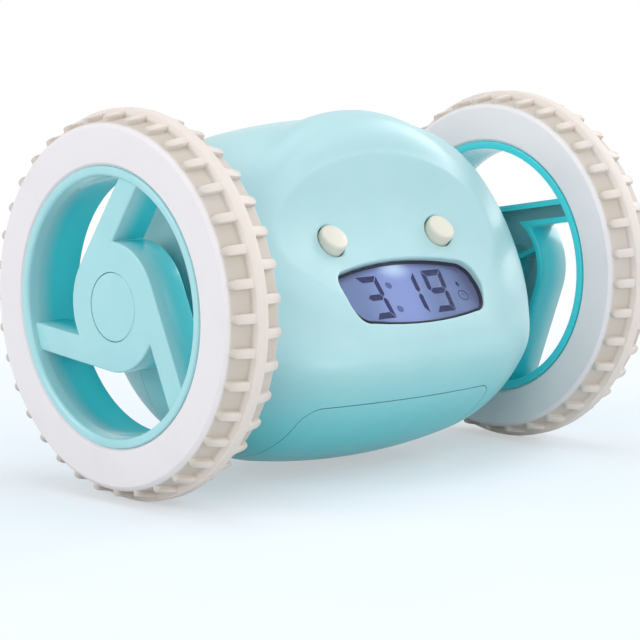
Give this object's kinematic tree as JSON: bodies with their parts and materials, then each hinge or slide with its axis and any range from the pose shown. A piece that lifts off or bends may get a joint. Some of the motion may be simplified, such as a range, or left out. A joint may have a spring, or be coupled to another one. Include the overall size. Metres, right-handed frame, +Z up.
{
  "type": "alarm clock",
  "caption": "Runaway alarm clock: an aqua barrel body with a tilted face, a mouth-shaped digital display and round eye buttons, carried between big white-tyred wheels.",
  "frame": {"origin": "on the floor, midway between the two wheels and under the axle", "axes": "+X along the axle, -Y the way the face looks, +Z up"},
  "size_m": [0.139, 0.089, 0.089],
  "materials": {
    "shell_aqua": "smooth satin moulding",
    "wheel_aqua": "glossy moulding",
    "tyre_white": "matte soft rubber",
    "button_cream": "satin",
    "window_clear": "clear acrylic",
    "lcd_glass": "display panel with dark digits",
    "light_guide": "translucent white",
    "board_green": "solder mask",
    "chip_black": "moulded black",
    "steel": "plated",
    "motor_can": "plated can",
    "gear_white": "self-coloured acetal",
    "tray_black": "satin black moulding",
    "cell_wrap": null
  },
  "bodies": {
    "casing": {"front_shell": "shell_aqua", "rear_shell": "shell_aqua", "battery_door": "shell_aqua", "door_screw": "steel", "shell_screws": "steel", "display_window": "window_clear", "lcd_panel": "lcd_glass", "backlight": "light_guide", "main_board": "board_green", "board_chips": "chip_black", "eye_switches": "chip_black", "rear_board": "board_green", "rear_switches": "chip_black", "speaker": "motor_can", "battery_tray": "tray_black", "battery_cells": "cell_wrap", "battery_contacts": "steel", "battery_springs": "steel", "motor_left": "motor_can", "idler_pin_left": "steel", "drive_frame_left": "tray_black", "axle_bush_left": "gear_white", "motor_right": "motor_can", "idler_pin_right": "steel", "drive_frame_right": "tray_black", "axle_bush_right": "gear_white"},
    "wheel_left": {"tyre_left": "tyre_white", "rim_left": "wheel_aqua", "hub_cap_left": "wheel_aqua", "axle_screw_left": "steel", "axle_left": "steel", "axle_gear_left": "gear_white"},
    "wheel_right": {"tyre_right": "tyre_white", "rim_right": "wheel_aqua", "hub_cap_right": "wheel_aqua", "axle_screw_right": "steel", "axle_right": "steel", "axle_gear_right": "gear_white"},
    "idler_left": {"idler_gear_left": "gear_white"},
    "idler_right": {"idler_gear_right": "gear_white"},
    "rotor_left": {"motor_shaft_left": "steel", "pinion_left": "gear_white"},
    "rotor_right": {"motor_shaft_right": "steel", "pinion_right": "gear_white"},
    "eye_left": {"eye_button_left": "button_cream"},
    "eye_right": {"eye_button_right": "button_cream"},
    "snooze": {"snooze_button": "button_cream"},
    "time": {"time_button": "button_cream"},
    "alarm": {"alarm_button": "button_cream"},
    "switch": {"wheel_switch": "button_cream"}
  },
  "joints": [
    {"name": "wheel_left_spin", "type": "hinge", "parent": "casing", "child": "wheel_left", "pos_m": [0, 0, 0.0445], "axis": [1, 0, 0], "continuous": true},
    {"name": "idler_left_spin", "type": "hinge", "parent": "casing", "child": "idler_left", "pos_m": [0, 0.01081, 0.03641], "axis": [1, 0, 0], "continuous": true},
    {"name": "rotor_left_spin", "type": "hinge", "parent": "casing", "child": "rotor_left", "pos_m": [0, 0.014, 0.0485], "axis": [1, 0, 0], "continuous": true},
    {"name": "wheel_right_spin", "type": "hinge", "parent": "casing", "child": "wheel_right", "pos_m": [0, 0, 0.0445], "axis": [1, 0, 0], "continuous": true},
    {"name": "idler_right_spin", "type": "hinge", "parent": "casing", "child": "idler_right", "pos_m": [0, 0.01081, 0.03641], "axis": [1, 0, 0], "continuous": true},
    {"name": "rotor_right_spin", "type": "hinge", "parent": "casing", "child": "rotor_right", "pos_m": [0, 0.014, 0.0485], "axis": [1, 0, 0], "continuous": true},
    {"name": "eye_left_press", "type": "slide", "parent": "casing", "child": "eye_left", "axis": [0, 0.7193, -0.6947], "range_m": [0, 0.0005], "stiffness_N_per_m": 400, "springref_m": -0.0004},
    {"name": "eye_right_press", "type": "slide", "parent": "casing", "child": "eye_right", "axis": [0, 0.7193, -0.6947], "range_m": [0, 0.0005], "stiffness_N_per_m": 400, "springref_m": -0.0004},
    {"name": "snooze_press", "type": "slide", "parent": "casing", "child": "snooze", "axis": [0, -0.788, -0.6157], "range_m": [0, 0.0006], "stiffness_N_per_m": 400, "springref_m": -0.0004},
    {"name": "time_press", "type": "slide", "parent": "casing", "child": "time", "axis": [0, -0.788, -0.6157], "range_m": [0, 0.0006], "stiffness_N_per_m": 400, "springref_m": -0.0004},
    {"name": "alarm_press", "type": "slide", "parent": "casing", "child": "alarm", "axis": [0, -0.788, -0.6157], "range_m": [0, 0.0006], "stiffness_N_per_m": 400, "springref_m": -0.0004},
    {"name": "wheel_switch_slide", "type": "slide", "parent": "casing", "child": "switch", "axis": [1, 0, 0], "range_m": [0, 0.004]}
  ],
  "couplings": [
    {"joint": "idler_left_spin", "follows": "wheel_left_spin", "ratio": -3.5},
    {"joint": "rotor_left_spin", "follows": "wheel_left_spin", "ratio": 14},
    {"joint": "idler_right_spin", "follows": "wheel_right_spin", "ratio": -3.5},
    {"joint": "rotor_right_spin", "follows": "wheel_right_spin", "ratio": 14}
  ]
}
